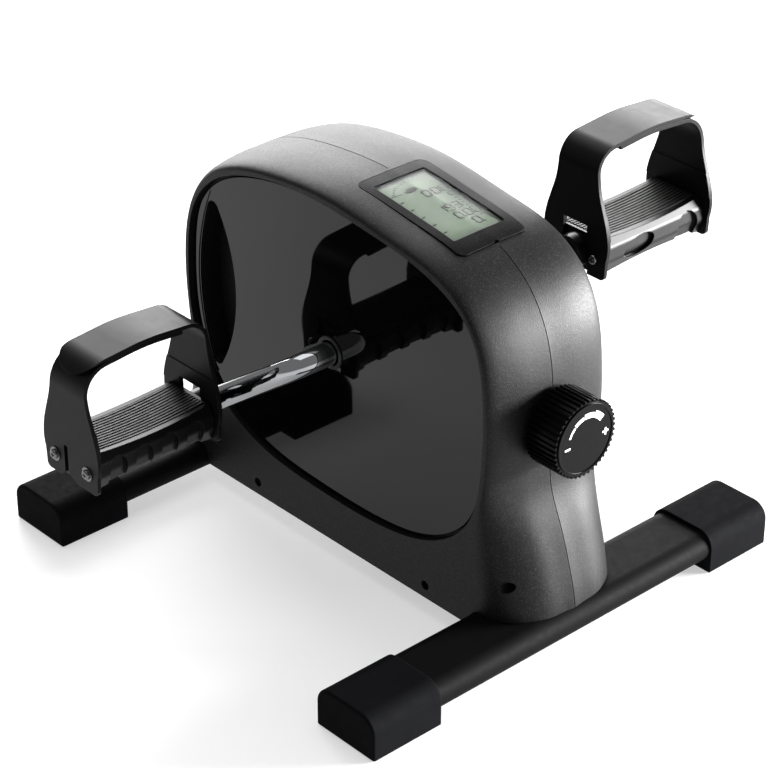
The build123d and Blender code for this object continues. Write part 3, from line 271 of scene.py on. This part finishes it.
def display_material():
    """Pale green reflective display with a faint dot weave and a faint painted glow: it emits a little light,
    though no lamp is inside.
    """
    material, nodes, links, shader = new_material("lcd_green")
    where = add(nodes, "ShaderNodeTexCoord").outputs["Object"]
    # Broad patches of tone, which feed both the base colour and the painted glow below.
    tone_and_painted_glow_patches = ranged(nodes, links, noise(nodes, links, where, 14.0, 1.0), 0.0, 1.0)
    tone = mixed(nodes, links, tone_and_painted_glow_patches, (0.072, 0.130, 0.066), (0.090, 0.148, 0.080))
    lines = add(nodes, "ShaderNodeTexWave", bands_direction="X")
    lines.inputs["Scale"].default_value = 420.0
    links.new(where, lines.inputs["Vector"])
    weave = ranged(nodes, links, lines.outputs["Fac"], 0.0, 0.10, 0.0, 1.0)
    tone = mixed(nodes, links, weave, tone, (0.12, 0.19, 0.11))
    links.new(tone, shader.inputs["Base Color"])
    # Painted glow: the display's own colour is also emitted, though the display has no lamp inside.
    links.new(tone, shader.inputs["Emission Color"])
    shader.inputs["Emission Strength"].default_value = 0.12
    shader.inputs["Roughness"].default_value = 0.35
    return material


WINDOW = window_material()
DISPLAY = display_material()
INK = finish_of("lcd_ink", (0.005, 0.007, 0.005), 0.5, mottle=(400.0, 0.15))
MASK = finish_of("lcd_mask", (0.10, 0.105, 0.105), 0.4, mottle=(60.0, 0.2))

FINISHES = {
    "bar_paint": BAR_PAINT, "cap_rubber": CAP_RUBBER, "housing_plastic": HOUSING,
    "piano_black": PIANO, "collar_plastic": COLLAR, "crank_chrome": CHROME,
    "frame_paint": FRAME_PAINT, "zinc_steel": ZINC, "black_screw": BLACK_SCREW,
    "pedal_screw": PEDAL_SCREW, "pulley_plastic": PULLEY, "magnet_nickel": NICKEL,
    "flywheel_iron": IRON, "belt_rubber": BELT, "knob_plastic": KNOB, "scale_print": PRINT,
    "bush_nylon": NYLON, "nut_brass": BRASS, "monitor_plastic": BEZEL,
    "monitor_window": WINDOW, "lcd_green": DISPLAY, "board_green": BOARD,
    "cell_jacket": CELL, "socket_plastic": SOCKET, "wire_jacket": WIRE,
    "pedal_plastic": PEDAL, "tread_rubber": TREAD, "strap_plastic": STRAP,
}
for part in frame["record"]["subparts"]:
    data = NODES[part["node"]].data
    data.materials.clear()
    data.materials.append(FINISHES[part["material_slot"]])


# ---- display markings -------------------------------------------------------------------
SEGMENTS = {"0": "abcdef", "1": "bc", "3": "abcdg", "7": "abc", "8": "abcdefg", "9": "abcdfg"}


# All display sizes are in mm from the middle of the display, x across and y towards its top.
DIGIT_HEIGHT = 7.4
DIGIT_WIDTH, DIGIT_STROKE, DIGIT_PITCH = 0.66, 0.14, 0.92      # shares of the digit's height
SEGMENT_GAP = 0.12                                             # share of the stroke
DOT_SIZE, DOT_SHIFT, DOT_PITCH = 1.2, 0.02, 0.20               # shares of the stroke, the pitch and the pitch
COLON_HEIGHTS, POINT_HEIGHTS = (0.3, 0.7), (0.04,)             # shares of the digit's height
ROWS = (("0:08", 14.5), ("9", 4.2), ("1933", -6.5), ("0.00", -17.2), ("0.7", -27.8))
DIGITS_RIGHT = 20.2
LABELS_LEFT, LABEL_WIDTH, LABEL_HEIGHT, LABEL_RISE = -20.6, 3.0, 1.1, 0.3
END_STEPS = 6                                                  # in each round end of a label bar
GAUGE_STEPS, GAUGE_START, GAUGE_SWEEP = 12, 155, 130           # ticks after the first, degrees
GAUGE_WIDE, GAUGE_HIGH, GAUGE_MIDDLE, GAUGE_FLATTEN = 17.8, 13.5, 19.5, 0.9
TICK_LONG, TICK_SHORT, TICK_WIDTH, LONG_EVERY = 2.2, 1.4, 0.4, 3
NEEDLE, NEEDLE_WIDTH = (-20.8, 24.0, -11.4, 22.9), 0.5
OVAL_MIDDLE, OVAL_REACH, OVAL_STEP = (-3.5, 23.5), (5.2, 2.5), 12
MASK_SIDE, MASK_TOP, MASK_END, MASK_INNER_X, MASK_INNER_Y = 22.4, 38.9, -38.9, 21.2, 36.2
MASK_TOP_STRIPS, MASK_SIDE_STRIPS = 8, 14


def bar_shape(x0, y0, x1, y1, width):
    """Pointed bar from one point to the other."""
    along = Vector((x1 - x0, y1 - y0)).normalized()
    across = Vector((-along.y, along.x)) * width / 2
    tip = along * width / 2
    start, end = Vector((x0, y0)), Vector((x1, y1))
    return [start, start + tip + across, end - tip + across,
            end, end - tip - across, start + tip - across]


def digit_shapes(char, x, y, width, height, stroke):
    """Seven-segment digit with its lower left corner at x, y."""
    mid = height / 2
    gap = stroke * SEGMENT_GAP
    lines = {"a": (0, height, width, height), "b": (width, height, width, mid), "c": (width, mid, width, 0),
             "d": (0, 0, width, 0), "e": (0, mid, 0, 0), "f": (0, height, 0, mid), "g": (0, mid, width, mid)}
    shapes = []
    for key in SEGMENTS[char]:
        x0, y0, x1, y1 = lines[key]
        along = Vector((x1 - x0, y1 - y0)).normalized() * gap
        start_x, start_y = x + x0 + along.x, y + y0 + along.y
        end_x, end_y = x + x1 - along.x, y + y1 - along.y
        shapes.append(bar_shape(start_x, start_y, end_x, end_y, stroke))
    return shapes


def square(x, y, size):
    half = size / 2
    return [Vector((x - half, y - half)), Vector((x + half, y - half)),
            Vector((x + half, y + half)), Vector((x - half, y + half))]


def rounded_bar(x0, x1, y, height):
    """Flat bar with round ends."""
    radius = height / 2
    points = []
    for centre, start in ((x1 - radius, -90), (x0 + radius, 90)):
        for step in range(END_STEPS + 1):
            angle = math.radians(start + 180 * step / END_STEPS)
            points.append(Vector((centre + radius * math.cos(angle), y + radius * math.sin(angle))))
    return points


def row_shapes(text, right, y, height):
    """Digits, colon and point set from the right-hand end."""
    width, stroke, pitch = height * DIGIT_WIDTH, height * DIGIT_STROKE, height * DIGIT_PITCH
    shapes = []
    x = right
    for char in reversed(text):
        if char in ":.":
            heights = COLON_HEIGHTS if char == ":" else POINT_HEIGHTS
            shapes += [square(x - pitch * DOT_SHIFT, y + height * h, stroke * DOT_SIZE) for h in heights]
            x -= pitch * DOT_PITCH
        else:
            shapes += digit_shapes(char, x - width, y, width, height, stroke)
            x -= pitch
    return shapes


def display_shapes():
    """All dark shapes of the display."""
    shapes = []
    for text, middle in ROWS:
        shapes += row_shapes(text, DIGITS_RIGHT, middle - DIGIT_HEIGHT / 2, DIGIT_HEIGHT)
        label_right = LABELS_LEFT + LABEL_WIDTH
        shapes.append(rounded_bar(LABELS_LEFT, label_right, middle + LABEL_RISE, LABEL_HEIGHT))
    for step in range(GAUGE_STEPS + 1):
        angle = math.radians(GAUGE_START - GAUGE_SWEEP * step / GAUGE_STEPS)
        size = TICK_LONG if step % LONG_EVERY == 0 else TICK_SHORT
        inner = Vector((GAUGE_WIDE * math.cos(angle), GAUGE_MIDDLE + GAUGE_HIGH * math.sin(angle)))
        outward = Vector((math.cos(angle), GAUGE_FLATTEN * math.sin(angle))).normalized()
        outer = inner + outward * size
        shapes.append(bar_shape(inner.x, inner.y, outer.x, outer.y, TICK_WIDTH))
    shapes.append(bar_shape(*NEEDLE, NEEDLE_WIDTH))
    oval = []
    for degrees in range(0, 360, OVAL_STEP):
        angle = math.radians(degrees)
        oval.append(Vector((OVAL_MIDDLE[0] + OVAL_REACH[0] * math.cos(angle),
                            OVAL_MIDDLE[1] + OVAL_REACH[1] * math.sin(angle))))
    shapes.append(oval)
    return shapes


def rectangle(x0, y0, x1, y1):
    return [Vector((x0, y0)), Vector((x1, y0)), Vector((x1, y1)), Vector((x0, y1))]


def mask_shapes():
    """Grey strips along the top and the right-hand side of the display, in short lengths."""
    strips = []
    width = 2 * MASK_SIDE / MASK_TOP_STRIPS
    for step in range(MASK_TOP_STRIPS):
        left = -MASK_SIDE + 2 * MASK_SIDE * step / MASK_TOP_STRIPS
        strips.append(rectangle(left, MASK_INNER_Y, left + width, MASK_TOP))
    height = (MASK_INNER_Y - MASK_END) / MASK_SIDE_STRIPS
    for step in range(MASK_SIDE_STRIPS):
        low = MASK_END + (MASK_INNER_Y - MASK_END) * step / MASK_SIDE_STRIPS
        strips.append(rectangle(MASK_INNER_X, low, MASK_SIDE, low + height))
    return strips


def display_axes():
    lift = next(j for j in frame["joints"] if j["name"] == "monitor_lift")
    normal = Vector(lift["axis"]).normalized()
    across = Vector((1, 0, 0))
    return across, normal.cross(across), normal


def display_surface():
    """Search tree of the display's own mesh, and the middle of its box."""
    data = NODES["monitor_lcd"].data
    low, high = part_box("monitor_lcd")
    tree = BVHTree.FromPolygons([v.co for v in data.vertices], [tuple(p.vertices) for p in data.polygons])
    return tree, (low + high) / 2


LONGEST_EDGE = 0.8           # mm, so that the marks follow the curve of the display
RAY_START = 10.0             # mm above the middle of the display


def stepped(outline):
    """The same outline with points added so that no edge is over the longest."""
    points = []
    for start, end in zip(outline, outline[1:] + outline[:1]):
        count = max(1, math.ceil((end - start).length / LONGEST_EDGE))
        points += [start.lerp(end, index / count) for index in range(count)]
    return points


def laid_pieces(name, shapes, depth, height, material):
    """Thin prisms laid on the curved display, from depth mm below its face to height mm above."""
    across, up, normal = display_axes()
    tree, origin = display_surface()
    mesh = bmesh.new()
    for shape in shapes:
        area = sum(a.x * b.y - b.x * a.y for a, b in zip(shape, shape[1:] + shape[:1]))
        outline = stepped(shape if area > 0 else list(reversed(shape)))
        low, high = [], []
        for point in outline:
            above = origin + (across * point.x + up * point.y + normal * RAY_START) * MM
            spot = tree.ray_cast(above, -normal)[0]
            if spot is None:
                spot = origin + (across * point.x + up * point.y) * MM
            low.append(mesh.verts.new(spot - normal * depth * MM))
            high.append(mesh.verts.new(spot + normal * height * MM))
        mesh.faces.new(high)
        mesh.faces.new(list(reversed(low)))
        for index in range(len(outline)):
            after = (index + 1) % len(outline)
            mesh.faces.new((low[index], low[after], high[after], high[index]))
    data = bpy.data.meshes.new(name)
    mesh.to_mesh(data)
    mesh.free()
    piece = bpy.data.objects.new(name, data)
    bpy.context.scene.collection.objects.link(piece)
    data.materials.append(material)
    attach(piece, "monitor")
    return piece


laid_pieces("display_marks", display_shapes(), 0.10, 0.17, INK)
laid_pieces("display_mask", mask_shapes(), 0.10, 0.12, MASK)


# ---- floor, light, camera -----------------------------------------------------------------
FLOOR_HALF = 12.0            # metres
FLOOR_DROP = 0.0002          # metres below the object, so that the two faces never share a plane


def floor():
    material, nodes, links, shader = new_material("floor_white")
    shader.inputs["Base Color"].default_value = (0.55, 0.55, 0.55, 1.0)
    shader.inputs["Emission Color"].default_value = (1.0, 1.0, 1.0, 1.0)
    shader.inputs["Emission Strength"].default_value = 0.50
    shader.inputs["Roughness"].default_value = 0.6
    shader.inputs["Specular IOR Level"].default_value = 0.2
    mesh = bmesh.new()
    bmesh.ops.create_grid(mesh, x_segments=2, y_segments=2, size=FLOOR_HALF)
    data = bpy.data.meshes.new("floor")
    mesh.to_mesh(data)
    mesh.free()
    piece = bpy.data.objects.new("floor", data)
    piece.location.z = CAD_BOX[0][2] - FLOOR_DROP
    data.materials.append(material)
    bpy.context.scene.collection.objects.link(piece)


def area_light(name, spot, target, size, power):
    light = bpy.data.lights.new(name, "AREA")
    light.shape = "RECTANGLE"
    light.size, light.size_y = size
    light.energy = power
    lamp = bpy.data.objects.new(name, light)
    lamp.location = spot
    lamp.rotation_euler = (Vector(target) - Vector(spot)).to_track_quat("-Z", "Y").to_euler()
    bpy.context.scene.collection.objects.link(lamp)


def world(strength):
    backdrop = bpy.data.worlds.new("studio")
    bpy.context.scene.world = backdrop
    backdrop.use_nodes = True
    shade = backdrop.node_tree.nodes["Background"]
    shade.inputs["Color"].default_value = (1.0, 1.0, 1.0, 1.0)
    shade.inputs["Strength"].default_value = strength


def camera(azimuth, elevation, target, distance, lens):
    a, e = math.radians(azimuth), math.radians(elevation)
    back = Vector((math.sin(a) * math.cos(e), -math.cos(a) * math.cos(e), math.sin(e)))
    data = bpy.data.cameras.new("camera")
    data.lens = lens
    data.sensor_width = 36.0
    data.clip_start, data.clip_end = 0.05, 60.0
    view = bpy.data.objects.new("camera", data)
    view.location = Vector(target) + back * distance
    view.rotation_euler = (-back).to_track_quat("-Z", "Y").to_euler()
    bpy.context.scene.collection.objects.link(view)
    bpy.context.scene.camera = view


floor()
world(0.35)
area_light("back_softbox", (1.5, 2.1, 1.15), (0, 0, 0.15), (2.6, 1.8), 160)
area_light("right_softbox", (2.15, -1.55, 0.40), (0, 0, 0.20), (1.1, 0.6), 430)
area_light("top_softbox", (0.2, 0.5, 2.4), (0, 0, 0.1), (2.0, 2.0), 22)
camera(-42.2, 30.28, (0.0233, 0.03047, 0.100), 1.94729, 126.72)
bpy.context.scene.view_settings.view_transform = "Standard"
bpy.context.scene.view_settings.look = "None"
bpy.context.scene.view_settings.exposure = 0.0
